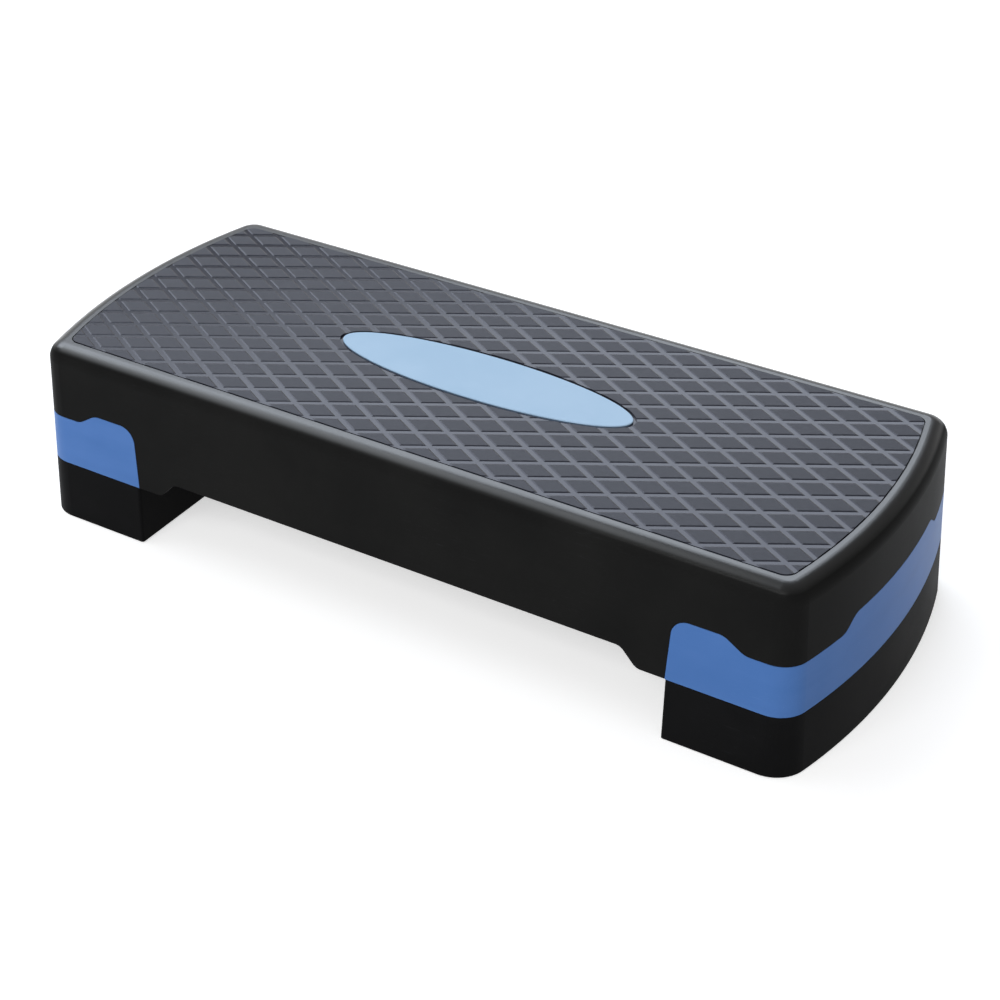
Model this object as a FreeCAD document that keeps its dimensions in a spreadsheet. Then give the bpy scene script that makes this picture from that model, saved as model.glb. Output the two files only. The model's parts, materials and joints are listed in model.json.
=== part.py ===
import FreeCAD, Part
import os
import re
import Sketcher

# Aerobic step: a hollow moulded deck with an inlaid tread mat, a coloured band screwed under each end,
# and a riser foot that plugs into each band from below. Length along X, width along Y, floor at Z = 0.

# Driving sizes: name, millimetres (degrees for the angles), meaning
sizes = (
    ("floor_length", 684, "length over the bowed ends, at the floor"),
    ("floor_width", 279, "width at the floor"),
    ("end_bow", 21.5, "how far each end bows out over the full width"),
    ("corner_radius", 26, "plan radius of the corners, at the floor"),
    ("draft_angle", 3.2, "lean of the outer walls, in degrees"),
    ("wall", 3, "wall of the mouldings"),
    ("overrun", 5, "how far cutting shapes run past what they cut"),
    ("foot_height", 50, "floor to the seam between foot and band"),
    ("band_height", 50, "that seam to the top of the band's tabs"),
    ("deck_rise", 48, "top of the tabs to the rim of the deck"),
    ("seam_gap", 0.3, "gap where two mouldings meet"),
    ("fit_gap", 0.4, "gap round what plugs into a moulding"),
    ("top_edge_radius", 13, "rounding of the deck's upper edge"),
    ("top_plate", 5, "thickness of the deck's top"),
    ("rib", 2.5, "thickness of the ribs"),
    ("rib_depth", 10, "depth of the ribs under the deck's top"),
    ("long_rib_spacing", 66, "between the ribs along the deck"),
    ("cross_rib_spacing", 62, "between the ribs across the deck"),
    ("drop_gap", 0.2, "lowest edge of the deck above the seam level"),
    ("arch_rise", 13.6, "middle of the long skirt above its low ends"),
    ("drop_flat", 22, "length of each low end of the skirt"),
    ("drop_slope", 13, "length of the slope up from it"),
    ("drop_blend", 9, "rounding at both ends of that slope"),
    ("leg_length", 114, "inner wall of a leg to the end of the step"),
    ("leg_edge_radius", 2, "rounding of a foot's upright inner edges"),
    ("leg_rib_spacing", 58, "between the ribs along a leg"),
    ("tab_rise", 10, "tabs of the band above its low stretch"),
    ("tab_lean", 2.6, "how far the inner edge of a side tab leans out at its top"),
    ("tab_flat", 40, "leg's inner wall to the outer end of a side tab's top"),
    ("tab_slope", 16, "length of the slope down from it"),
    ("tab_corner", 13, "rounding of a side tab's inner corner"),
    ("tab_blend", 14, "rounding at both ends of the tabs' slopes"),
    ("end_tab_width", 130, "width of the end tab's top"),
    ("end_tab_slope", 13, "width of the slope at each side of it"),
    ("socket_depth", 16, "seam up to the band's web"),
    ("web", 4, "thickness of the band's web"),
    ("foot_plate", 3.5, "thickness of the foot's top"),
    ("foot_rib_lift", 4, "lower edge of the foot's ribs above the foot's rim"),
    ("collar_rise", 10, "locating collar of the foot above the seam"),
    ("pad_radius", 10, "radius of a rubber pad"),
    ("pad_thick", 6, "thickness of a rubber pad"),
    ("pad_show", 1, "how far a pad stands out of its cup"),
    ("pad_bevel", 0.8, "bevel round the tread of a pad"),
    ("pad_gap", 0.1, "gap round a pad in its cup"),
    ("dimple_gap", 0.5, "room round a pad in the dimple under it"),
    ("cup_wall", 3, "wall of the pad cups"),
    ("cup_seat", 3, "width of the ledge that a pad seats on"),
    ("pad_inner_inset", 20, "leg's inner wall to the inner pads"),
    ("pad_end_inset", 36, "end of the step to the outer pads"),
    ("pad_side_inset", 26.5, "side of the step to the pads"),
    ("screw_radius", 2, "radius of a screw's shank"),
    ("screw_length", 18, "length of a screw under its head"),
    ("screw_tip", 3, "length of its point"),
    ("screw_head_radius", 4, "radius of its head"),
    ("screw_head_height", 2.6, "height of its head"),
    ("drive_length", 4.4, "length of each slot of the cross drive"),
    ("drive_width", 0.9, "width of those slots"),
    ("drive_depth", 1.4, "depth of those slots"),
    ("screw_gap", 0.1, "gap round a screw's shank"),
    ("screw_inset", 36, "leg's inner wall to the first screws"),
    ("screw_pitch", 40, "first to second screws along the leg"),
    ("boss_radius", 5.5, "radius of the deck's screw bosses"),
    ("mat_margin", 16.5, "edge of the deck's top to the mat"),
    ("mat_corner", 9, "plan radius of the mat's corners"),
    ("mat_sheet", 2, "thickness of the mat's backing sheet"),
    ("mat_gap", 0.9, "open line round the mat"),
    ("tread_rise", 0.5, "diamond pads above the backing sheet"),
    ("tread_spacing", 19.6, "between the tread grooves, square to them"),
    ("tread_groove", 3.6, "width of the tread grooves"),
    ("tread_angle", 30, "turn of the grooves from the length, in degrees"),
    ("oval_length", 256, "length of the oval recess in the mat"),
    ("oval_width", 66.6, "width of that recess"),
    ("oval_bed", 1, "thickness of the mat under the oval inlay"),
    ("oval_gap", 2.6, "gap round the inlay"),
    ("oval_proud", 0.8, "inlay above the mat's sheet"),
    ("oval_bevel", 0.5, "bevel round the inlay"),
)

# Counts of what repeats
long_ribs = 4
cross_ribs = 7
leg_ribs = 4

# Two places closer than this are the same place
same_place = 1e-4

doc = FreeCAD.newDocument("aerobic_step")
sheet = doc.addObject("Spreadsheet::Sheet", "sizes")
for row, (alias, number, meaning) in enumerate(sizes, start=1):
    sheet.set(f"A{row}", meaning)
    sheet.set(f"B{row}", str(number))
    sheet.setAlias(f"B{row}", alias)
doc.recompute()
aliases = {alias for alias, number, meaning in sizes}

# Levels and places that several pieces share, as formulas of the sheet's names
rim = "(foot_height + band_height + deck_rise)"
tab_top = "(foot_height + band_height)"
band_low = "(foot_height + band_height - tab_rise)"
web_under = "(foot_height + socket_depth)"
web_top = "(foot_height + socket_depth + web)"
foot_top = "(foot_height - seam_gap)"
foot_ceiling = "(foot_height - seam_gap - foot_plate)"
drop_level = "(foot_height + drop_gap)"
arch_level = "(foot_height + drop_gap + arch_rise)"
recess_floor = f"({rim} - mat_sheet)"
oval_floor = f"({rim} - mat_sheet + oval_bed)"
leg_face = "(floor_length / 2 - leg_length)"
deck_leg_face = f"({leg_face} - seam_gap)"
far_x = "(floor_length / 2 + overrun)"
far_y = "(floor_width / 2 + overrun)"
mat_inset = f"({rim} * tan(draft_angle) + mat_margin)"
screw_columns = (f"({leg_face} + screw_inset)", f"({leg_face} + screw_inset + screw_pitch)")
screw_row = "(leg_rib_spacing * (3 / 2))"
pad_columns = {"inner": f"({leg_face} + pad_inner_inset)", "outer": "(floor_length / 2 - pad_end_inset)"}
pad_rows = {"front": "(pad_side_inset - floor_width / 2)", "back": "(floor_width / 2 - pad_side_inset)"}
cup_radius = "(pad_radius + pad_gap + cup_wall)"

parts = {}


def cells(formula):
    # The same formula with each size read from the sheet
    return re.sub(r"[a-z_]+", lambda word: f"sizes.{word[0]}" if word[0] in aliases else word[0], formula)


def value(formula):
    return float(sheet.evalExpression(formula))


def bind(thing, **formulas):
    for name, formula in formulas.items():
        thing.setExpression(name, cells(formula))


def move(thing, x="0", y="0", z="0"):
    for axis, formula in (("x", x), ("y", y), ("z", z)):
        thing.setExpression(f"Placement.Base.{axis}", cells(formula))


# Solids and their combinations

def box(name, x, y, z):
    # Each of x, y and z is a pair of formulas, low and high
    block = doc.addObject("Part::Box", name)
    bind(block, Length=f"{x[1]} - ({x[0]})", Width=f"{y[1]} - ({y[0]})", Height=f"{z[1]} - ({z[0]})")
    move(block, x[0], y[0], z[0])
    return block


def cylinder(name, x, y, z, radius):
    post = doc.addObject("Part::Cylinder", name)
    bind(post, Radius=radius, Height=f"{z[1]} - ({z[0]})")
    move(post, x, y, z[0])
    return post


def cut(name, base, tool, refine=True):
    result = doc.addObject("Part::Cut", name)
    result.Base = base
    result.Tool = tool
    result.Refine = refine
    return result


def common(name, base, tool):
    result = doc.addObject("Part::Common", name)
    result.Base = base
    result.Tool = tool
    return result


def fuse(name, pieces):
    result = doc.addObject("Part::MultiFuse", name)
    result.Shapes = pieces
    return result


def mirrored(name, source):
    result = doc.addObject("Part::Mirroring", name)
    result.Source = source
    result.Normal = FreeCAD.Vector(1, 0, 0)
    return result


def finished(node, thing):
    thing.Label = node
    parts[node] = thing


# Bodies made from sketches

def new_body(name):
    return doc.addObject("PartDesign::Body", name)


def new_sketch(body, name, role, offset="0"):
    sketch = body.newObject("Sketcher::SketchObject", name)
    plane = next(feature for feature in body.Origin.OriginFeatures if feature.Role == role)
    sketch.AttachmentSupport = [(plane, "")]
    sketch.MapMode = "FlatFace"
    sketch.setExpression(".AttachmentOffset.Base.z", cells(offset))
    return sketch


def dimension(sketch, kind, places, formula):
    index = sketch.addConstraint(Sketcher.Constraint(kind, *places, value(formula)))
    sketch.setExpression(f"Constraints[{index}]", cells(formula))


def draw_polygon(sketch, corners):
    # Straight sides through corners given as pairs of formulas
    points = [FreeCAD.Vector(value(x), value(y), 0) for x, y in corners]
    for start, end in zip(points, points[1:] + points[:1]):
        sketch.addGeometry(Part.LineSegment(start, end), False)
    for side in range(len(points)):
        following = (side + 1) % len(points)
        sketch.addConstraint(Sketcher.Constraint("Coincident", side, 2, following, 1))
    for side, (x, y) in enumerate(corners):
        dimension(sketch, "DistanceX", (-1, 1, side, 1), x)
        dimension(sketch, "DistanceY", (-1, 1, side, 1), y)


def draw_outline(sketch, inset, corner):
    # Plan of the step, set in all round: straight sides, bowed ends and rounded corners
    bow_radius = f"(((floor_width / 2)^2 + end_bow^2) / (2 * end_bow) - ({inset}))"
    half_length = f"(floor_length / 2 - ({inset}))"
    half_width = f"(floor_width / 2 - ({inset}))"
    big = value(bow_radius)
    small = value(corner)
    wide = value(half_width)
    bow_x = value(half_length) - big
    corner_y = wide - small
    corner_x = bow_x + ((big - small) ** 2 - corner_y ** 2) ** 0.5
    reach = FreeCAD.Vector(corner_x - bow_x, corner_y, 0)
    turn = FreeCAD.Vector(1, 0, 0).getAngle(reach)
    quarter = FreeCAD.Vector(1, 0, 0).getAngle(FreeCAD.Vector(0, 1, 0))
    half = 2 * quarter

    def arc(x, y, radius, start, end):
        circle = Part.Circle(FreeCAD.Vector(x, y, 0), FreeCAD.Vector(0, 0, 1), radius)
        return Part.ArcOfCircle(circle, start, end)

    def side(y, start, end):
        return Part.LineSegment(FreeCAD.Vector(start, y, 0), FreeCAD.Vector(end, y, 0))

    sketch.addGeometry([
        arc(bow_x, 0, big, -turn, turn),
        arc(corner_x, corner_y, small, turn, quarter),
        side(wide, corner_x, -corner_x),
        arc(-corner_x, corner_y, small, quarter, half - turn),
        arc(-bow_x, 0, big, half - turn, half + turn),
        arc(-corner_x, -corner_y, small, half + turn, half + quarter),
        side(-wide, -corner_x, corner_x),
        arc(corner_x, -corner_y, small, -quarter, -turn),
    ], False)
    edges = sketch.GeometryCount
    for edge in range(edges):
        sketch.addConstraint(Sketcher.Constraint("Tangent", edge, 2, (edge + 1) % edges, 1))
    for bow, sign in ((0, ""), (4, "-")):
        sketch.addConstraint(Sketcher.Constraint("PointOnObject", bow, 3, -1))
        dimension(sketch, "Radius", (bow,), bow_radius)
        dimension(sketch, "DistanceX", (-1, 1, bow, 3), f"{sign}({half_length} - {bow_radius})")
    for straight, sign in ((2, ""), (6, "-")):
        sketch.addConstraint(Sketcher.Constraint("Horizontal", straight))
        dimension(sketch, "DistanceY", (-1, 1, straight, 1), f"{sign}{half_width}")
    for rounding in (1, 3, 5, 7):
        dimension(sketch, "Radius", (rounding,), corner)


def pad(body, sketch, length, both_ways=False):
    feature = body.newObject("PartDesign::Pad", f"{sketch.Name}_pad")
    feature.Profile = sketch
    feature.Midplane = both_ways
    bind(feature, Length=length)
    doc.recompute()
    return feature


def edges_where(feature, test):
    return [f"Edge{index}" for index, edge in enumerate(feature.Shape.Edges, start=1) if test(edge)]


def round_edges(body, feature, names, radius):
    fillet = body.newObject("PartDesign::Fillet", f"{feature.Name}_round")
    fillet.Base = (feature, names)
    bind(fillet, Radius=radius)
    doc.recompute()
    return fillet


def form(name, inset, top, rounding=None, bottom="-overrun"):
    # A drafted block with the plan of the step, set in all round, and an optional rounded upper edge
    body = new_body(name)
    sketch = new_sketch(body, f"{name}_plan", "XY_Plane", bottom)
    lean = f"({inset} + ({bottom}) * tan(draft_angle))"
    draw_outline(sketch, lean, f"corner_radius - {lean}")
    block = pad(body, sketch, f"{top} - ({bottom})")
    bind(block, TaperAngle="-draft_angle")
    doc.recompute()
    if rounding:
        level = value(top)
        rim_edges = edges_where(block, lambda edge: edge.BoundBox.ZMin > level - same_place)
        round_edges(body, block, rim_edges, rounding)
    return body


def profile_block(name, role, corners, rounded, length, offset="0", both_ways=False):
    # A straight block with a polygon for its section; rounded pairs section corners with a radius
    body = new_body(name)
    sketch = new_sketch(body, f"{name}_section", role, offset)
    draw_polygon(sketch, corners)
    feature = pad(body, sketch, length, both_ways)
    across = 0 if role == "XZ_Plane" else 1
    for places, radius in rounded:
        spots = [(value(first), value(second)) for first, second in places]

        def at_spot(edge):
            ends = [(point.Point[across], point.Point[2]) for point in edge.Vertexes]
            return any(all(abs(end[0] - spot[0]) < same_place and abs(end[1] - spot[1]) < same_place
                           for end in ends) for spot in spots)

        feature = round_edges(body, feature, edges_where(feature, at_spot), radius)
    return body


def negated(corners):
    return [(f"-({x})", y) for x, y in reversed(corners)]


# Forms that the mouldings are cut from

envelope = form("envelope", "0", rim, "top_edge_radius", bottom="0")
hollow = form("hollow", "wall", f"({rim} - top_plate)", "top_edge_radius - wall")
midwall = form("midwall", "wall / 2", f"({rim} - top_plate / 2)", "top_edge_radius - wall / 2")
fitting = form("fitting", "(wall + fit_gap)", f"({rim} - top_plate / 2)", "top_edge_radius - wall - fit_gap")
collar_hollow = form("collar_hollow", "(wall + fit_gap + wall)", web_under)


# Edges of the band, grown by a gap where the deck is cut to clear it

def side_tab_corners(gap):
    return [
        (f"({leg_face} + tab_lean - {gap})", f"({tab_top} + {gap})"),
        (f"({leg_face} + tab_flat)", f"({tab_top} + {gap})"),
        (f"({leg_face} + tab_flat + tab_slope)", f"({band_low} + {gap})"),
        (far_x, f"({band_low} + {gap})"),
    ]


def end_tab_block(name, gap, bottom):
    # The band's profile across the end of the step, from behind the end wall outwards
    slope_foot = ("(end_tab_width / 2 + end_tab_slope)", f"({band_low} + {gap})")
    slope_head = ("(end_tab_width / 2)", f"({tab_top} + {gap})")
    half = [(far_y, bottom), (far_y, f"({band_low} + {gap})"), slope_foot, slope_head]
    blends = [slope_foot, slope_head]
    start = "(floor_length / 2 - end_bow - corner_radius)"
    return profile_block(name, "YZ_Plane", half + negated(half), [(blends + negated(blends), "tab_blend")],
                         f"{far_x} - {start}", offset=start)


# Deck: shell with the skirt's profile, ribs, bulkheads beside the legs and screw bosses

def skirt_cutter():
    slope_head = (f"({leg_face} - drop_flat - drop_slope)", arch_level)
    slope_foot = (f"({leg_face} - drop_flat)", drop_level)
    tab = side_tab_corners("seam_gap")
    half = [slope_head, slope_foot, (deck_leg_face, drop_level)] + tab + [(far_x, "-overrun")]
    drops = [slope_head, slope_foot]
    rounded = [
        (drops + negated(drops), "drop_blend"),
        (tab[:1] + negated(tab[:1]), "tab_corner + seam_gap"),
        (tab[1:3] + negated(tab[1:3]), "tab_blend"),
    ]
    return profile_block("skirt_cutter", "XZ_Plane", half + negated(half), rounded, f"2 * {far_y}",
                         both_ways=True)


def spread(count, spacing):
    # Places of a row of things spaced evenly about the middle
    return [f"({spacing} * {index - (count - 1) / 2})" for index in range(count)]


def wall_across(name, x, z):
    return box(name, (f"({x} - rib / 2)", f"({x} + rib / 2)"), (f"-{far_y}", far_y), z)


def wall_along(name, y, x, z):
    return box(name, x, (f"({y} - rib / 2)", f"({y} + rib / 2)"), z)


def leg_rib_set(name, x_start, z):
    ribs = [wall_across(f"{name}_across", x, z) for x in screw_columns]
    ribs += [wall_along(f"{name}_along", y, (x_start, far_x), z) for y in spread(leg_ribs, "leg_rib_spacing")]
    ribs_all = fuse(f"{name}_grid", ribs)
    bay = box(f"{name}_bay", (x_start, far_x), (f"-{far_y}", far_y), z)
    return common(name, ribs_all, bay)


def build_deck():
    end_cut = end_tab_block("end_cutter", "seam_gap", "-overrun")
    cutter = fuse("band_room", [skirt_cutter(), end_cut, mirrored("end_cutter_left", end_cut)])
    skirt = cut("skirt", cut("shell", envelope, hollow), cutter)

    shallow = (f"({rim} - top_plate - rib_depth)", rim)
    mid_x = (f"-{deck_leg_face}", deck_leg_face)
    ribs = [wall_across("cross_rib", x, shallow) for x in spread(cross_ribs, "cross_rib_spacing")]
    ribs += [wall_along("long_rib", y, mid_x, shallow) for y in spread(long_ribs, "long_rib_spacing")]
    bulkhead_x = (f"({deck_leg_face} - wall)", deck_leg_face)
    bulkhead = box("bulkhead", bulkhead_x, (f"-{far_y}", far_y), (drop_level, rim))
    leg_grid = leg_rib_set("leg_rib", bulkhead_x[0], shallow)
    bosses = [cylinder("boss", x, y, (web_top, f"({rim} - top_plate / 2)"), "boss_radius")
              for x in screw_columns for y in (screw_row, f"-{screw_row}")]
    right = fuse("deck_leg_inside", [common("leg_rib_trim", leg_grid, midwall),
                                     common("bulkhead_trim", bulkhead, midwall)] + bosses)
    middle = common("deck_ribs", fuse("deck_rib_grid", ribs), midwall)
    solid = fuse("deck_solid", [skirt, middle, right, mirrored("deck_leg_inside_left", right)])

    pilot = (f"({web_top} - overrun)", f"({web_under} + screw_length + screw_gap)")
    pilots = [cylinder("pilot", x, y, pilot, "screw_radius + screw_gap")
              for x in screw_columns for y in (screw_row, f"-{screw_row}")]
    pilots_right = fuse("pilots", pilots)
    recess = plan_slab("mat_recess", f"({mat_inset} - mat_gap)", "mat_corner + mat_gap",
                       recess_floor, f"({rim} + overrun)")
    holes = fuse("deck_holes", [pilots_right, mirrored("pilots_left", pilots_right), recess])
    finished("deck_shell", cut("deck", solid, holes))


# Tread mat with its diamond pads, and the oval inlay in the middle of it

def plan_slab(name, inset, corner, bottom, top):
    body = new_body(name)
    sketch = new_sketch(body, f"{name}_plan", "XY_Plane", bottom)
    draw_outline(sketch, inset, corner)
    pad(body, sketch, f"{top} - {bottom}")
    return body


def oval(name, gap, bottom, top):
    rounding = doc.addObject("Part::Ellipse", f"{name}_edge")
    bind(rounding, MajorRadius=f"oval_length / 2 - {gap}", MinorRadius=f"oval_width / 2 - {gap}")
    move(rounding, z=bottom)
    block = doc.addObject("Part::Extrusion", name)
    block.Base = rounding
    block.DirMode = "Custom"
    block.Dir = FreeCAD.Vector(0, 0, 1)
    block.Solid = True
    bind(block, LengthFwd=f"{top} - {bottom}")
    return block


def groove_strip(name, y, z):
    # Long enough to cross the mat at any turn
    across = (f"({y} - tread_groove / 2)", f"({y} + tread_groove / 2)")
    return box(name, ("-floor_length", "floor_length"), across, z)


def build_mat():
    tread_top = f"({rim} + tread_rise)"
    slab = plan_slab("mat", mat_inset, "mat_corner", recess_floor, tread_top)
    mat = cut("mat_recessed", slab, oval("oval_recess", "0", oval_floor, f"({tread_top} + overrun)"))
    half_length = f"(floor_length / 2 - {mat_inset})"
    half_width = f"(floor_width / 2 - {mat_inset})"
    farthest = f"({half_length} * sin(tread_angle) + {half_width} * cos(tread_angle))"
    lines = 2 * int(value(f"floor({farthest} / tread_spacing)")) + 1
    for name, sign in (("rising", ""), ("falling", "-")):
        strips = doc.addObject("Part::Compound", f"{name}_grooves")
        strips.Links = [groove_strip(f"{name}_groove", y, (rim, f"({tread_top} + overrun)"))
                        for y in spread(lines, "tread_spacing")]
        turned = FreeCAD.Rotation(FreeCAD.Vector(0, 0, 1), value(f"{sign}tread_angle"))
        strips.Placement = FreeCAD.Placement(FreeCAD.Vector(), turned)
        strips.setExpression("Placement.Rotation.Angle", cells(f"{sign}tread_angle"))
        mat = cut(f"mat_{name}", mat, strips, refine=False)
    finished("tread_mat", mat)


def build_inlay():
    top = f"({rim} + oval_proud)"
    plate = oval("oval_plate", "oval_gap", oval_floor, top)
    doc.recompute()
    level = value(top)
    bevel = doc.addObject("Part::Chamfer", "oval_bevelled")
    bevel.Base = plate
    reach = value("oval_bevel")
    bevel.Edges = [(index, reach, reach) for index, edge in enumerate(plate.Shape.Edges, start=1)
                   if edge.BoundBox.ZMin > level - same_place]
    finished("oval_inlay", bevel)


# The two legs: band above the seam, riser foot below it

def build_leg_forms():
    # The end of the envelope past the leg's inner wall, as it is and with its upright inner edges rounded
    end = box("leg_end", (leg_face, far_x), (f"-{far_y}", far_y), ("-overrun", f"({rim} + overrun)"))
    block = common("leg_block", envelope, end)
    doc.recompute()
    face = value(leg_face)
    rounded = doc.addObject("Part::Fillet", "leg_rounded")
    rounded.Base = block
    radius = value("leg_edge_radius")

    def upright_inner(edge):
        bounds = edge.BoundBox
        upright = bounds.ZLength > bounds.YLength and bounds.ZMin < same_place
        return upright and bounds.XMax < face + same_place

    rounded.Edges = [(index, radius, radius) for index, edge in enumerate(block.Shape.Edges, start=1)
                     if upright_inner(edge)]
    doc.recompute()
    return block, rounded


def leg_space(name, inner_form, x_inset, z, half_width=far_y):
    # The part of a form that lies past the leg's inner wall, between two levels
    reach = box(f"{name}_reach", (f"({leg_face} + {x_inset})", far_x), (f"-{half_width}", half_width), z)
    return common(name, inner_form, reach)


def pad_places():
    return [(x, y) for x in pad_columns.values() for y in pad_rows.values()]


def cups(name, z):
    return [cylinder(name, x, y, z, cup_radius) for x, y in pad_places()]


def cup_bores(name, mouth, seat, ceiling):
    # Each cup is bored for its pad up to the seat, and narrower above it
    bores = [cylinder(f"{name}_mouth", x, y, (mouth, seat), "pad_radius + pad_gap") for x, y in pad_places()]
    bores += [cylinder(f"{name}_core", x, y, (seat, ceiling), "pad_radius + pad_gap - cup_seat")
              for x, y in pad_places()]
    return bores


def build_band(leg_form):
    tab = side_tab_corners("0")
    section = tab + [(far_x, "foot_height"), (leg_face, "foot_height")]
    rounded = [(tab[:1], "tab_corner"), (tab[1:3], "tab_blend")]
    sides = profile_block("band_sides", "XZ_Plane", section, rounded, f"2 * {far_y}", both_ways=True)
    ends = end_tab_block("band_end", "0", "foot_height")
    block = common("band_block", leg_form, fuse("band_region", [sides, ends]))
    upper = leg_space("band_tray", hollow, "(tab_lean + wall)", (web_top, f"({tab_top} + overrun)"))
    lower = leg_space("band_socket", hollow, "wall", ("(foot_height - overrun)", web_under))
    posts = fuse("band_cups", cups("band_cup", ("foot_height", f"({web_under} + web / 2)")))
    solid = fuse("band_solid", [cut("band_walls", block, fuse("band_spaces", [upper, lower])), posts])
    seat = "(foot_height - pad_show + pad_thick)"
    bores = cup_bores("band_cup", "(foot_height - overrun)", seat, web_under)
    hole_z = ("foot_height", f"({web_top} + overrun)")
    holes = [cylinder("screw_hole", x, y, hole_z, "screw_radius + screw_gap")
             for x in screw_columns for y in (screw_row, f"-{screw_row}")]
    right = cut("band", solid, fuse("band_holes", bores + holes))
    finished("end_band_right", right)
    finished("end_band_left", mirrored("band_left", right))


def build_foot(leg_form):
    slab = box("foot_slab", (leg_face, far_x), (f"-{far_y}", far_y), ("pad_show", foot_top))
    inside = leg_space("foot_inside", hollow, "wall", ("-overrun", foot_ceiling))
    walls = cut("foot_walls", common("foot_block", leg_form, slab), inside)
    rib_z = ("(pad_show + foot_rib_lift)", f"({foot_ceiling} + foot_plate / 2)")
    ribs = common("foot_ribs", leg_rib_set("foot_rib", f"({leg_face} + wall / 2)", rib_z), midwall)
    posts = cups("foot_cup", ("pad_show", f"({foot_ceiling} + foot_plate / 2)"))

    collar_z = (f"({foot_ceiling} + foot_plate / 2)", "(foot_height + collar_rise)")
    collar_half = f"({pad_rows['back']} - {cup_radius} - fit_gap)"
    outer = leg_space("collar_outer", fitting, "(wall + fit_gap)", collar_z, collar_half)
    inner_z = (foot_top, "(foot_height + collar_rise + overrun)")
    inner = leg_space("collar_inner", collar_hollow, "(wall + fit_gap + wall)", inner_z,
                      f"({collar_half} - wall)")
    collar = cut("collar", outer, inner)

    solid = fuse("foot_solid", [walls, ribs, collar] + posts)
    bores = cup_bores("foot_cup", "-overrun", "pad_thick", foot_ceiling)
    dimple_z = ("(foot_height - pad_show - dimple_gap)", "(foot_height + overrun)")
    dimples = [cylinder("dimple", x, y, dimple_z, "pad_radius + dimple_gap") for x, y in pad_places()]
    right = cut("foot", solid, fuse("foot_holes", bores + dimples))
    finished("riser_foot_right", right)
    finished("riser_foot_left", mirrored("foot_left", right))


# Rubber pads under the feet, and under the bands for use without the feet

def build_pads():
    section = [("0", "0"), ("(pad_radius - pad_bevel)", "0"), ("pad_radius", "pad_bevel"),
               ("pad_radius", "pad_thick"), ("0", "pad_thick")]
    levels = {"foot_pad": "0", "band_pad": "(foot_height - pad_show)"}
    for kind, level in levels.items():
        for side, sign in (("left", "-"), ("right", "")):
            for row, y in pad_rows.items():
                for column, x in pad_columns.items():
                    node = f"{kind}_{side}_{row}_{column}"
                    body = new_body(node)
                    sketch = new_sketch(body, f"{node}_section", "XZ_Plane")
                    draw_polygon(sketch, section)
                    turned = body.newObject("PartDesign::Revolution", f"{node}_turned")
                    turned.Profile = sketch
                    turned.ReferenceAxis = (sketch, ["V_Axis"])
                    move(body, f"{sign}{x}", y, level)
                    finished(node, body)


# Screws that hold the bands to the deck's bosses, driven from below

def screw(x, y):
    body = new_body("screw")
    section = [("0", "-screw_head_height"), ("screw_head_radius", "-screw_head_height"),
               ("screw_head_radius", "0"), ("screw_radius", "0"),
               ("screw_radius", "(screw_length - screw_tip)"), ("0", "screw_length")]
    sketch = new_sketch(body, "screw_section", "XZ_Plane")
    draw_polygon(sketch, section)
    turned = body.newObject("PartDesign::Revolution", "screw_turned")
    turned.Profile = sketch
    turned.ReferenceAxis = (sketch, ["V_Axis"])
    doc.recompute()
    along = ("(drive_length / 2)", "(drive_width / 2)")
    for name, (half_x, half_y) in (("drive_along", along), ("drive_across", along[::-1])):
        slot = new_sketch(body, f"{name}_section", "XY_Plane", "-screw_head_height")
        near = [(f"-{half_x}", f"-{half_y}"), (half_x, f"-{half_y}")]
        draw_polygon(slot, near + [(half_x, half_y), (f"-{half_x}", half_y)])
        pocket = body.newObject("PartDesign::Pocket", name)
        pocket.Profile = slot
        pocket.Reversed = True
        bind(pocket, Length="drive_depth")
        doc.recompute()
    move(body, x, y, web_under)
    return body


def build_screws():
    right = doc.addObject("Part::Compound", "screws")
    right.Links = [screw(x, y) for x in screw_columns for y in (screw_row, f"-{screw_row}")]
    finished("band_screws_right", right)
    finished("band_screws_left", mirrored("screws_left", right))


build_deck()
build_mat()
build_inlay()
leg_block, leg_rounded = build_leg_forms()
build_band(leg_block)
build_foot(leg_rounded)
build_pads()
build_screws()
doc.recompute()

# Nothing is written unless every feature worked
for thing in doc.Objects:
    if "Invalid" in thing.State or "Error" in thing.State:
        raise RuntimeError(f"{thing.Name} failed: {thing.State}")
for node, thing in parts.items():
    if thing.Shape.isNull() or not thing.Shape.isValid():
        raise RuntimeError(f"{node} has no valid shape")

os.makedirs("parts", exist_ok=True)
for node, thing in parts.items():
    thing.Shape.exportStep(f"parts/{node}.step")
    print(node, len(thing.Shape.Solids), "solids", round(thing.Shape.Volume), "cubic mm")
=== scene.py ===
import json
import math

import bpy
from mathutils import Matrix, Vector


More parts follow.
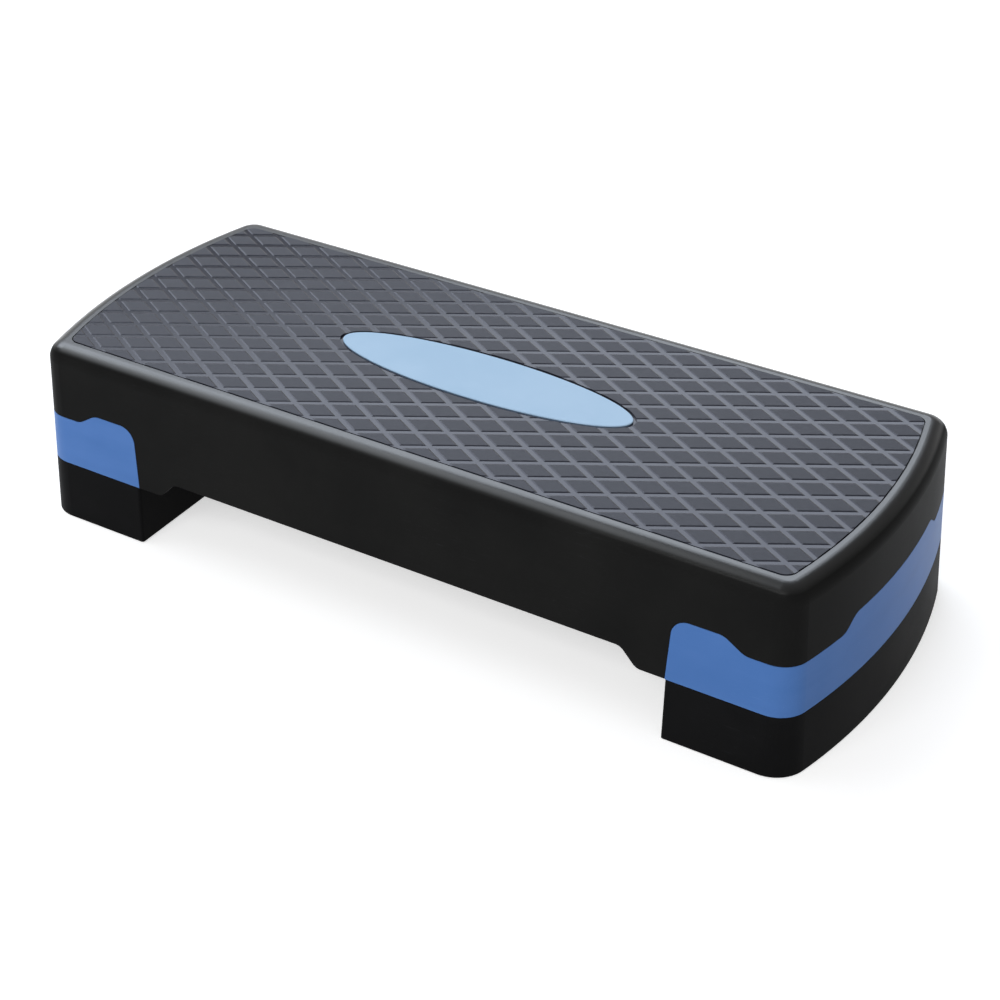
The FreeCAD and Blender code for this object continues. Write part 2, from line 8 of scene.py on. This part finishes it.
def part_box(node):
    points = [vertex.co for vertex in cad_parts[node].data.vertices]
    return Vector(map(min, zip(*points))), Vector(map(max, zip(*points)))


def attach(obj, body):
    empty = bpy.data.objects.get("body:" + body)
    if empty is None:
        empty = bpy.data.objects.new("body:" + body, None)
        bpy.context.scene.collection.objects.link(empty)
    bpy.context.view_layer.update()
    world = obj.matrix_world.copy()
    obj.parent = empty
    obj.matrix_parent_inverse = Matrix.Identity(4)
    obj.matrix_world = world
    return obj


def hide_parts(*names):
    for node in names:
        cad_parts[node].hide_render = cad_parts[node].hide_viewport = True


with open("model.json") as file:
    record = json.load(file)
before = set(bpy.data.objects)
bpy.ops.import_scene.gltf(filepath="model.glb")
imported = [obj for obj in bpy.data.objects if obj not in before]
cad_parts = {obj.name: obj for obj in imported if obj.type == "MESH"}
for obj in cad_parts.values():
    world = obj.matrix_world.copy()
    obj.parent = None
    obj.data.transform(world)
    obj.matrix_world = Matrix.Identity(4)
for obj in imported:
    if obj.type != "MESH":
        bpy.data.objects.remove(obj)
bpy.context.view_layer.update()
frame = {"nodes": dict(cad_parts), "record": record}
scene = bpy.context.scene
scene.view_settings.view_transform = "Standard"
print("frame loaded:", len(frame["nodes"]), "nodes")


# Shader maths: a socket that takes +, -, * and abs, each of which adds its Math node

class Wire:
    def __init__(self, socket):
        self.socket = socket

    def node(self, kind, settings=None, sockets=None, out=0):
        tree = self.socket.id_data
        made = tree.nodes.new(kind)
        for name, setting in (settings or {}).items():
            setattr(made, name, setting)
        for name, value in (sockets or {}).items():
            if isinstance(value, Wire):
                tree.links.new(value.socket, made.inputs[name])
            else:
                made.inputs[name].default_value = value
        return Wire(made.outputs[out])

    def math(self, operation, first, second=0.0):
        return self.node("ShaderNodeMath", {"operation": operation}, {0: first, 1: second})

    def __add__(self, other):
        return self.math("ADD", self, other)

    def __radd__(self, other):
        return self.math("ADD", other, self)

    def __sub__(self, other):
        return self.math("SUBTRACT", self, other)

    def __rsub__(self, other):
        return self.math("SUBTRACT", other, self)

    def __mul__(self, other):
        return self.math("MULTIPLY", self, other)

    def __rmul__(self, other):
        return self.math("MULTIPLY", other, self)

    def __abs__(self):
        return self.math("ABSOLUTE", self)

    def height(self):  # the Z of a place
        return self.node("ShaderNodeSeparateXYZ", {}, {"Vector": self}, 2)

    def ramp(self, low, high):  # 0 below low, 1 above high, smooth between
        return self.node("ShaderNodeMapRange", {"interpolation_type": "SMOOTHSTEP"},
                         {"Value": self, "From Min": low, "From Max": high})

    def spread(self, middle, width):  # 0 to 1 becomes a range of this width about the middle
        return self * width + (middle - width / 2)

    def noise(self, scale, detail=3.0, roughness=0.55, stretch=None):
        place = self
        if stretch:
            place = self.node("ShaderNodeMapping", {}, {"Vector": self, "Scale": stretch})
        return self.node("ShaderNodeTexNoise", {},
                         {"Vector": place, "Scale": scale, "Detail": detail, "Roughness": roughness})

    def tint(self, low, high):  # colour low where this is 0, high where it is 1
        return self.node("ShaderNodeMix", {"data_type": "RGBA"}, {"Factor": self, 6: low, 7: high}, 2)


def rgb(r, g, b):
    return (r, g, b, 1.0)


def newMaterial(name, constants):
    material = bpy.data.materials.new(name)
    material.use_nodes = True
    shader = material.node_tree.nodes["Principled BSDF"]
    for socket, value in constants.items():
        shader.inputs[socket].default_value = value
    place = material.node_tree.nodes.new("ShaderNodeTexCoord").outputs["Object"]
    return material, shader, Wire(place)


def feed(shader, **wires):
    names = {"colour": "Base Color", "roughness": "Roughness", "coat": "Coat Weight", "normal": "Normal"}
    for key, wire in wires.items():
        shader.id_data.links.new(wire.socket, shader.inputs[names[key]])


def bump(height, distance, strength):
    return height.node("ShaderNodeBump", {}, {"Height": height, "Distance": distance, "Strength": strength})


scratch = {
    "tilt": 0.35,  # turn of the whole pattern about Y, in radians
    "length": 22.0,  # a scratch is this many times as long as wide
    "detail": 1.0,
    "sharpness": 90.0, "fade": 0.35,  # more of either makes it thinner
    "patches": {"scale": 9.0, "detail": 2.0}, "patchEdge": (0.52, 0.68),  # scratches come in patches
}


def scratches(place, scale, turn):
    # Thin broken lines: stretched noise that is only let through near its middle value
    lines = place.node("ShaderNodeMapping", {}, {
        "Vector": place, "Rotation": (0.0, scratch["tilt"], turn),
        "Scale": (1.0, scratch["length"], scratch["length"]),
    })
    veil = lines.noise(scale, scratch["detail"])
    near = 1.0 - abs(veil - 0.5) * scratch["sharpness"]
    patches = place.noise(**scratch["patches"])
    return near.ramp(scratch["fade"], 1.0) * patches.ramp(*scratch["patchEdge"])


# In the finishes a pair of numbers gives the two ends of a ramp

blackPlastic = {
    "deck": {"dark": rgb(0.0095, 0.0095, 0.0094), "light": rgb(0.0135, 0.0134, 0.0130), "rough": 0.44},
    "foot": {"dark": rgb(0.0055, 0.0055, 0.0058), "light": rgb(0.0085, 0.0085, 0.009), "rough": 0.48},
    "specular": 0.02,
    "cloud": {"scale": 11.0, "detail": 4.0}, "cloudColour": (0.3, 0.75), "cloudRough": (0.35, 0.7),
    "roughSpread": 0.07,
    "grain": {"scale": 1100.0, "detail": 2.0, "roughness": 0.6},
    "grainDepth": 0.00006, "grainBump": 0.6, "grainRough": 0.05,
    "scuff": rgb(0.026, 0.026, 0.028), "scuffLines": {"scale": 26.0, "turn": 0.5},
    "scuffShare": 0.6, "scuffRough": 0.12,
    "rim": (0.1430, 0.1472),  # the rim gets its polish between these heights
    "rimCoat": 0.92, "rimSpread": 0.2, "coatRough": 0.28, "coatIndex": 1.75,
}


def blackMoulding(name, look):
    material, shader, place = newMaterial(name, {
        "Specular IOR Level": blackPlastic["specular"],
        "Coat Roughness": blackPlastic["coatRough"], "Coat IOR": blackPlastic["coatIndex"],
    })
    rim = place.height().ramp(*blackPlastic["rim"])
    cloud = place.noise(**blackPlastic["cloud"])
    grain = place.noise(**blackPlastic["grain"])
    marks = scratches(place, **blackPlastic["scuffLines"]) * blackPlastic["scuffShare"]
    body = cloud.ramp(*blackPlastic["cloudColour"]).tint(look["dark"], look["light"])
    satin = cloud.ramp(*blackPlastic["cloudRough"]).spread(look["rough"], blackPlastic["roughSpread"])
    feed(shader, colour=marks.tint(body, blackPlastic["scuff"]),
         roughness=satin + grain * blackPlastic["grainRough"] + marks * blackPlastic["scuffRough"],
         coat=rim * cloud.spread(blackPlastic["rimCoat"], blackPlastic["rimSpread"]),
         normal=bump(grain, blackPlastic["grainDepth"], blackPlastic["grainBump"]))
    return material


bluePlastic = {
    "dark": rgb(0.073, 0.184, 0.475), "light": rgb(0.090, 0.209, 0.520), "rough": 0.40, "specular": 0.08,
    "cloud": {"scale": 14.0, "detail": 3.0}, "cloudShare": 0.5, "cloudColour": (0.35, 0.65),
    "flow": {"scale": 6.0, "detail": 3.0, "roughness": 0.5, "stretch": (1.0, 1.0, 7.0)},
    "flowRough": 0.08,  # faint bands of the melt's flow, in colour and gloss
    "grain": {"scale": 1300.0, "detail": 2.0, "roughness": 0.6}, "grainDepth": 0.00004, "grainBump": 0.5,
    "rub": rgb(0.16, 0.29, 0.60), "rubLines": {"scale": 30.0, "turn": 1.1},
    "rubShare": 0.5, "rubRough": 0.15,
}


def blueMoulding(name):
    material, shader, place = newMaterial(name, {"Specular IOR Level": bluePlastic["specular"]})
    cloud = place.noise(**bluePlastic["cloud"])
    flow = place.noise(**bluePlastic["flow"])
    grain = place.noise(**bluePlastic["grain"])
    marks = scratches(place, **bluePlastic["rubLines"]) * bluePlastic["rubShare"]
    shade = cloud * bluePlastic["cloudShare"] + flow * (1.0 - bluePlastic["cloudShare"])
    body = shade.ramp(*bluePlastic["cloudColour"]).tint(bluePlastic["dark"], bluePlastic["light"])
    satin = flow.spread(bluePlastic["rough"], bluePlastic["flowRough"])
    feed(shader, colour=marks.tint(body, bluePlastic["rub"]),
         roughness=satin + marks * bluePlastic["rubRough"],
         normal=bump(grain, bluePlastic["grainDepth"], bluePlastic["grainBump"]))
    return material


paleInlay = {
    "dark": rgb(0.345, 0.505, 0.675), "light": rgb(0.378, 0.536, 0.705), "rough": 0.36, "specular": 0.15,
    "cloud": {"scale": 18.0, "detail": 3.0}, "cloudColour": (0.3, 0.7), "roughSpread": 0.08,
    "grain": {"scale": 1500.0, "detail": 2.0, "roughness": 0.6}, "grainDepth": 0.00003, "grainBump": 0.5,
    "rub": rgb(0.5, 0.66, 0.85), "rubLines": {"scale": 34.0, "turn": 0.2}, "rubShare": 0.35,
    "edge": rgb(0.12, 0.17, 0.25),  # painted shade: the side wall under the face is coloured darker, standing in for the shade of the wall in its gap
    "paintedShadeDepth": 0.0005, "paintedShadeFade": 0.0003,
}


def inlayPlastic(name, top):
    material, shader, place = newMaterial(name, {"Specular IOR Level": paleInlay["specular"]})
    cloud = place.noise(**paleInlay["cloud"])
    grain = place.noise(**paleInlay["grain"])
    marks = scratches(place, **paleInlay["rubLines"]) * paleInlay["rubShare"]
    # Painted shade: below this depth under the top, the inlay's side wall turns to the darker colour
    paintedShadeTop = top - paleInlay["paintedShadeDepth"]
    aboveShade = place.height().ramp(paintedShadeTop - paleInlay["paintedShadeFade"], paintedShadeTop)
    body = cloud.ramp(*paleInlay["cloudColour"]).tint(paleInlay["dark"], paleInlay["light"])
    feed(shader, colour=aboveShade.tint(paleInlay["edge"], marks.tint(body, paleInlay["rub"])),
         roughness=cloud.spread(paleInlay["rough"], paleInlay["roughSpread"]),
         normal=bump(grain, paleInlay["grainDepth"], paleInlay["grainBump"]))
    return material


treadRubber = {
    "pad": rgb(0.026, 0.028, 0.036), "padWorn": rgb(0.034, 0.036, 0.046), "padRough": 0.45,
    "groove": rgb(0.024, 0.025, 0.034), "grooveRough": 0.16,
    "padFrom": 0.55,  # share of the rise above which the groove's look turns into the pad's
    "specular": 0.33, "sheen": rgb(0.87, 0.88, 1.0),
    "cloud": {"scale": 9.0, "detail": 4.0}, "cloudColour": (0.35, 0.7), "roughSpread": 0.08,
    "grain": {"scale": 1700.0, "detail": 2.0, "roughness": 0.65}, "grainDepth": 0.00008, "grainBump": 0.8,
}


def matRubber(name, grooveLevel, padLevel):
    material, shader, place = newMaterial(name, {
        "Specular IOR Level": treadRubber["specular"], "Specular Tint": treadRubber["sheen"],
    })
    onPad = place.height().ramp(grooveLevel + treadRubber["padFrom"] * (padLevel - grooveLevel), padLevel)
    cloud = place.noise(**treadRubber["cloud"])
    grain = place.noise(**treadRubber["grain"])
    worn = cloud.ramp(*treadRubber["cloudColour"]).tint(treadRubber["pad"], treadRubber["padWorn"])
    smooth = cloud.spread(treadRubber["grooveRough"], treadRubber["roughSpread"])
    feed(shader, colour=onPad.tint(treadRubber["groove"], worn),
         roughness=onPad * (treadRubber["padRough"] - treadRubber["grooveRough"]) + smooth,
         normal=bump(grain * onPad, treadRubber["grainDepth"], treadRubber["grainBump"]))
    return material


softRubber = {
    "dark": rgb(0.018, 0.018, 0.018), "light": rgb(0.032, 0.032, 0.031), "rough": 0.78, "specular": 0.3,
    "cloud": {"scale": 120.0, "detail": 3.0}, "roughSpread": 0.1,
    "grain": {"scale": 1500.0, "detail": 2.0}, "grainDepth": 0.00008, "grainBump": 0.6,
}


def padRubber(name):
    material, shader, place = newMaterial(name, {"Specular IOR Level": softRubber["specular"]})
    cloud = place.noise(**softRubber["cloud"])
    grain = place.noise(**softRubber["grain"])
    feed(shader, colour=cloud.tint(softRubber["dark"], softRubber["light"]),
         roughness=cloud.spread(softRubber["rough"], softRubber["roughSpread"]),
         normal=bump(grain, softRubber["grainDepth"], softRubber["grainBump"]))
    return material


zinc = {
    "dark": rgb(0.50, 0.50, 0.47), "light": rgb(0.66, 0.66, 0.63), "rough": 0.34, "roughSpread": 0.16,
    "turning": {"scale": 700.0, "detail": 2.0, "roughness": 0.5, "stretch": (1.0, 1.0, 6.0)},
    "turningDepth": 0.00004, "turningBump": 0.4,
}


def zincSteel(name):
    material, shader, place = newMaterial(name, {"Metallic": 1.0})
    turning = place.noise(**zinc["turning"])
    feed(shader, colour=turning.tint(zinc["dark"], zinc["light"]),
         roughness=turning.spread(zinc["rough"], zinc["roughSpread"]),
         normal=bump(turning, zinc["turningDepth"], zinc["turningBump"]))
    return material


sheetLow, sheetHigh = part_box("tread_mat")
tread = {
    "spacing": 0.0196,  # between the grooves, square to them
    "groove": 0.0033,  # flat bottom of a groove
    "angle": math.radians(30),  # of the grooves to the mat's length
    "rise": 0.0004,  # pads above the sheet
    "slope": 0.0009,  # how far a pad's walls lean in
    "edge": 0.0005,  # width of the bevel round a pad's top
    "edgeRise": 0.0001,  # height of that bevel
    "weld": 0.00001,  # points of a pad closer than this are joined
    "endBow": 0.01527,  # how far each end bows out
    "corner": 0.009,  # radius of the mat's corners
    "clear": 0.00005,  # pads stop this far inside the mat's edge
    "ovalGap": 0.0026,  # open ring round the oval inlay
    "bed": 0.001,  # sheet under the oval inlay
}
sheetTop = sheetHigh.z - tread["rise"]

materials = {
    "deck_black": blackMoulding("deckBlack", blackPlastic["deck"]),
    "foot_black": blackMoulding("footBlack", blackPlastic["foot"]),
    "band_blue": blueMoulding("bandBlue"),
    "inlay_blue": inlayPlastic("inlayBlue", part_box("oval_inlay")[1].z),
    "tread_black": matRubber("treadBlack", sheetTop, sheetHigh.z),
    "pad_rubber": padRubber("padRubber"),
    "screw_steel": zincSteel("screwSteel"),
}
print("materials ready:", len(materials))

slotOf = {row["node"]: row["material_slot"] for row in frame["record"]["subparts"]}
for name, node in frame["nodes"].items():
    node.data.materials.clear()
    node.data.materials.append(materials[slotOf[name]])


# Tread mat: a sheet with an oval recess, and rows of diamond pads trimmed to it

def planOutline(halfLength, halfWidth, bow, corner, steps=10):
    # Rounded plan with straight sides and bowed ends, anticlockwise
    radius = (halfWidth ** 2 + bow ** 2) / (2 * bow)
    bowX = halfLength - radius
    cornerY = halfWidth - corner
    cornerX = bowX + math.sqrt((radius - corner) ** 2 - cornerY ** 2)
    turn = math.atan2(cornerY, cornerX - bowX)
    right = []
    for step in range(-2 * steps, 2 * steps + 1):
        angle = turn * step / (2 * steps)
        right.append((bowX + radius * math.cos(angle), radius * math.sin(angle)))
    rounding = []
    for step in range(1, steps + 1):
        angle = turn + (math.pi / 2 - turn) * step / steps
        rounding.append((cornerX + corner * math.cos(angle), cornerY + corner * math.sin(angle)))
    half = [(x, -y) for x, y in reversed(rounding)] + right + rounding
    return half + [(-x, -y) for x, y in half]


def ovalOutline(halfLength, halfWidth, steps=96):
    angles = [2 * math.pi * step / steps for step in range(steps)]
    return [(halfLength * math.cos(angle), halfWidth * math.sin(angle)) for angle in angles]


def prism(name, outline, low, high):
    count = len(outline)
    points = [(x, y, low) for x, y in outline] + [(x, y, high) for x, y in outline]
    faces = [list(range(count))[::-1], list(range(count, 2 * count))]
    faces += [[i, (i + 1) % count, count + (i + 1) % count, count + i] for i in range(count)]
    mesh = bpy.data.meshes.new(name)
    mesh.from_pydata(points, [], faces)
    mesh.update()
    made = bpy.data.objects.new(name, mesh)
    scene.collection.objects.link(made)
    return made


class Tree:
    # A Geometry Nodes tree with named inputs
    def __init__(self, name, inputs):
        self.tree = bpy.data.node_groups.new(name, "GeometryNodeTree")
        self.tree.interface.new_socket("Geometry", in_out="OUTPUT", socket_type="NodeSocketGeometry")
        self.tree.interface.new_socket("Geometry", in_out="INPUT", socket_type="NodeSocketGeometry")
        for label, kind in inputs.items():
            self.tree.interface.new_socket(label, in_out="INPUT", socket_type=kind)
        self.source = self.tree.nodes.new("NodeGroupInput")
        self.target = self.tree.nodes.new("NodeGroupOutput")

    def input(self, label):
        return self.source.outputs[label]

    def add(self, kind, settings=None, sockets=None, out=0):
        made = self.tree.nodes.new(kind)
        for name, setting in (settings or {}).items():
            setattr(made, name, setting)
        for name, value in (sockets or {}).items():
            values = value if isinstance(value, list) else [value]
            for item in values:
                if isinstance(item, bpy.types.NodeSocket):
                    self.tree.links.new(item, made.inputs[name])
                else:
                    made.inputs[name].default_value = item
        return made.outputs[out]

    def math(self, operation, first, second):
        return self.add("ShaderNodeMath", {"operation": operation}, {0: first, 1: second})

    def cut(self, operation, sockets):
        return self.add("GeometryNodeMeshBoolean", {"operation": operation, "solver": "MANIFOLD"}, sockets)

    def finish(self, geometry):
        self.tree.links.new(geometry, self.target.inputs["Geometry"])
        return self.tree


def runTree(piece, tree, values):
    # The tree's result becomes the piece's own plain mesh
    modifier = piece.modifiers.new("shape", "NODES")
    modifier.node_group = tree
    names = {item.name: item.identifier for item in tree.interface.items_tree if item.in_out == "INPUT"}
    for label, value in values.items():
        modifier[names[label]] = value
    bpy.context.view_layer.update()
    depsgraph = bpy.context.evaluated_depsgraph_get()
    mesh = bpy.data.meshes.new_from_object(piece.evaluated_get(depsgraph), depsgraph=depsgraph)
    piece.modifiers.remove(modifier)
    piece.data = mesh


def treadTree():
    tree = Tree("treadPads", {
        "Trim": "NodeSocketObject", "Recess": "NodeSocketObject",
        "Columns": "NodeSocketInt", "Rows": "NodeSocketInt",
        "Step": "NodeSocketVector", "Pad": "NodeSocketVector", "Shoulder": "NodeSocketFloat",
        "Lip": "NodeSocketFloat", "Wall": "NodeSocketFloat", "Round": "NodeSocketFloat",
        "Foot": "NodeSocketFloat", "Weld": "NodeSocketFloat", "Material": "NodeSocketMaterial",
    })

    # The lattice is two grids of points, half a step apart along and across
    step = tree.add("ShaderNodeSeparateXYZ", {}, {"Vector": tree.input("Step")}).node.outputs
    grid = tree.add("GeometryNodeMeshGrid", {}, {
        "Size X": tree.math("MULTIPLY", step["X"], tree.input("Columns")),
        "Size Y": tree.math("MULTIPLY", step["Y"], tree.input("Rows")),
        "Vertices X": tree.math("ADD", tree.input("Columns"), 1.0),
        "Vertices Y": tree.math("ADD", tree.input("Rows"), 1.0),
    })
    grids = []
    for share in ((0.5, 0.0, 0.0), (0.0, 0.5, 0.0)):
        shift = tree.add("ShaderNodeVectorMath", {"operation": "MULTIPLY"}, {0: tree.input("Step"), 1: share})
        grids.append(tree.add("GeometryNodeTransform", {}, {"Geometry": grid, "Translation": shift}))
    points = tree.add("GeometryNodeJoinGeometry", {}, {"Geometry": grids})

    # One pad: a diamond drawn up with leaning walls and a bevelled top, closed below
    square = tree.add("GeometryNodeMeshCircle", {"fill_type": "NGON"}, {"Vertices": 4, "Radius": 1.0})
    diamond = tree.add("GeometryNodeTransform", {}, {"Geometry": square, "Scale": tree.input("Pad")})
    shape = diamond
    chosen = {}
    for rise, share in (("Wall", "Shoulder"), ("Round", "Lip")):
        drawn = tree.add("GeometryNodeExtrudeMesh", {"mode": "FACES"},
                         {"Mesh": shape, "Offset Scale": tree.input(rise), "Individual": False, **chosen})
        chosen = {"Selection": drawn.node.outputs["Top"]}
        shape = tree.add("GeometryNodeScaleElements", {"domain": "FACE"},
                         {"Geometry": drawn, "Scale": tree.input(share), **chosen})
    closed = tree.add("GeometryNodeFlipFaces", {}, {"Mesh": diamond})
    pad = tree.add("GeometryNodeJoinGeometry", {}, {"Geometry": [shape, closed]})
    pad = tree.add("GeometryNodeMergeByDistance", {}, {"Geometry": pad, "Distance": tree.input("Weld")})

    # Pads on all points, trimmed to the mat and joined to its sheet, less the oval's recess
    placed = tree.add("GeometryNodeInstanceOnPoints", {}, {"Points": points, "Instance": pad})
    pads = tree.add("GeometryNodeRealizeInstances", {}, {"Geometry": placed})
    lift = tree.add("ShaderNodeCombineXYZ", {}, {"Z": tree.input("Foot")})
    pads = tree.add("GeometryNodeTransform", {}, {"Geometry": pads, "Translation": lift})
    trim = tree.add("GeometryNodeObjectInfo", {}, {"Object": tree.input("Trim")}, "Geometry")
    recess = tree.add("GeometryNodeObjectInfo", {}, {"Object": tree.input("Recess")}, "Geometry")
    trimmed = tree.cut("INTERSECT", {"Mesh 2": [pads, trim]})
    mat = tree.cut("UNION", {"Mesh 2": [tree.input("Geometry"), trimmed]})
    mat = tree.cut("DIFFERENCE", {"Mesh 1": mat, "Mesh 2": recess})
    mat = tree.add("GeometryNodeRealizeInstances", {}, {"Geometry": mat})
    mat = tree.add("GeometryNodeSetMaterial", {}, {"Geometry": mat, "Material": tree.input("Material")})
    return tree.finish(mat)


def buildTread():
    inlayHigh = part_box("oval_inlay")[1]
    halfLength, halfWidth = sheetHigh.x, sheetHigh.y
    above = sheetHigh.z + tread["rise"]  # the tools reach past the pads
    plan = planOutline(halfLength, halfWidth, tread["endBow"], tread["corner"])
    piece = prism("treadMat", plan, sheetLow.z, sheetTop)
    plan = planOutline(halfLength - tread["clear"], halfWidth - tread["clear"],
                       tread["endBow"], tread["corner"])
    trim = prism("treadTrim", plan, sheetTop - tread["rise"], above)
    oval = ovalOutline(inlayHigh.x + tread["ovalGap"], inlayHigh.y + tread["ovalGap"])
    recess = prism("treadRecess", oval, sheetLow.z + tread["bed"], above)

    sine = math.sin(tread["angle"])
    cosine = math.cos(tread["angle"])
    stepX = tread["spacing"] / sine
    stepY = tread["spacing"] / cosine
    sink = tread["rise"] / 2  # pads start inside the sheet
    wall = tread["rise"] - tread["edgeRise"] + sink
    lean = tread["slope"] * wall / (wall - sink)
    halfPad = (tread["spacing"] - tread["groove"]) / 2 + lean - tread["slope"]
    runTree(piece, treadTree(), {
        "Trim": trim, "Recess": recess,
        "Columns": 2 * (int(halfLength / stepX) + 1), "Rows": 2 * (int(halfWidth / stepY) + 1),
        "Step": (stepX, stepY, 0.0), "Pad": (halfPad / sine, halfPad / cosine, 1.0),
        "Wall": wall, "Shoulder": 1 - lean / halfPad,
        "Round": tread["edgeRise"], "Lip": 1 - tread["edge"] / (halfPad - lean),
        "Foot": sheetTop - sink, "Weld": tread["weld"], "Material": materials["tread_black"],
    })
    for tool in (trim, recess):
        bpy.data.objects.remove(tool)
    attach(piece, "deck")
    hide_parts("tread_mat")
    return piece


treadMat = buildTread()
print("tread mat:", len(treadMat.data.polygons), "faces")


# Studio: pale floor, soft boxes and the photograph's camera

studio = {
    "floorHalf": 6.0, "floorThick": 0.02, "floorColour": rgb(0.76, 0.76, 0.76), "floorRough": 0.9,
    "floorGlow": 0.56,  # only for what the camera sees, straight, mirrored or through glass
    "ambient": 0.31, "backdrop": 1.0, "ceiling": 0.15,
    "wallLow": 0.08, "wallHigh": 0.40,  # the pale backdrop fades into the ceiling between these heights
}


def lightRays(tree):
    # Masks of what the camera sees straight, and of what it sees mirrored or through glass
    path = tree.nodes.new("ShaderNodeLightPath").outputs
    straight = Wire(path["Is Camera Ray"])
    bounced = straight.math("MAXIMUM", Wire(path["Is Glossy Ray"]), Wire(path["Is Transmission Ray"]))
    return straight, bounced


def buildFloor():
    half = studio["floorHalf"]
    corners = [(half, half), (-half, half), (-half, -half), (half, -half)]
    floor = prism("floor", corners, -studio["floorThick"], 0.0)
    material, shader = newMaterial("floorPale", {
        "Base Color": studio["floorColour"], "Roughness": studio["floorRough"], "Specular IOR Level": 0.0,
    })[:2]
    tree = material.node_tree
    straight, bounced = lightRays(tree)
    glow = straight.math("MAXIMUM", straight, bounced) * studio["floorGlow"]
    lit = glow.node("ShaderNodeEmission", {}, {"Strength": glow})
    both = lit.node("ShaderNodeAddShader", {}, {0: lit, 1: Wire(shader.outputs[0])})
    tree.links.new(both.socket, tree.nodes["Material Output"].inputs["Surface"])
    floor.data.materials.append(material)


def buildWorld():
    world = bpy.data.worlds.new("studio")
    scene.world = world
    world.use_nodes = True
    tree = world.node_tree
    straight, bounced = lightRays(tree)
    heading = Wire(tree.nodes.new("ShaderNodeTexCoord").outputs["Generated"])
    wall = 1.0 - heading.height().ramp(studio["wallLow"], studio["wallHigh"])
    mirrored = wall * (studio["backdrop"] - studio["ceiling"]) + studio["ceiling"]
    shown = straight * (studio["backdrop"] - studio["ambient"]) + bounced * (mirrored - studio["ambient"])
    strength = shown + studio["ambient"]
    background = tree.nodes["Background"]
    background.inputs["Color"].default_value = rgb(1.0, 1.0, 1.0)
    tree.links.new(strength.socket, background.inputs["Strength"])


lampAim = (0.0, 0.0, 0.1)
softBoxes = {
    "backBox": {"place": (-2.58, 2.20, 3.05), "width": 5.8, "height": 2.0, "power": 134.0,
                "colour": (0.83, 0.90, 1.0)},
    "sideBox": {"place": (-1.90, -0.35, 2.90), "width": 2.4, "height": 2.2, "power": 24.0,
                "colour": (0.90, 0.95, 1.0)},
    "frontBox": {"place": (0.1, -3.0, 2.4), "width": 2.6, "height": 1.6, "power": 66.0,
                 "colour": (1.0, 1.0, 1.0)},
}


def buildLamps():
    for name, box in softBoxes.items():
        lamp = bpy.data.lights.new(name, "AREA")
        lamp.shape = "RECTANGLE"
        lamp.size = box["width"]
        lamp.size_y = box["height"]
        lamp.energy = box["power"]
        lamp.color = box["colour"]
        made = bpy.data.objects.new(name, lamp)
        made.location = box["place"]
        facing = Vector(lampAim) - Vector(box["place"])
        made.rotation_euler = facing.to_track_quat("-Z", "Y").to_euler()
        made.visible_camera = False
        scene.collection.objects.link(made)


view = {
    "eye": (0.7170, -1.1316, 0.9192), "right": (0.8512, 0.5248, -0.0055), "up": (-0.2841, 0.4696, 0.8359),
    "back": (0.4412, -0.7100, 0.5488), "lens": 74.88, "sensor": 36.0,
}


def buildCamera():
    lens = bpy.data.cameras.new("camera")
    lens.lens = view["lens"]
    lens.sensor_width = view["sensor"]
    lens.sensor_fit = "HORIZONTAL"
    camera = bpy.data.objects.new("camera", lens)
    turn = Matrix((view["right"], view["up"], view["back"])).transposed()
    camera.matrix_world = Matrix.Translation(Vector(view["eye"])) @ turn.to_4x4()
    scene.collection.objects.link(camera)
    scene.camera = camera


buildFloor()
buildWorld()
buildLamps()
buildCamera()
print("studio ready")
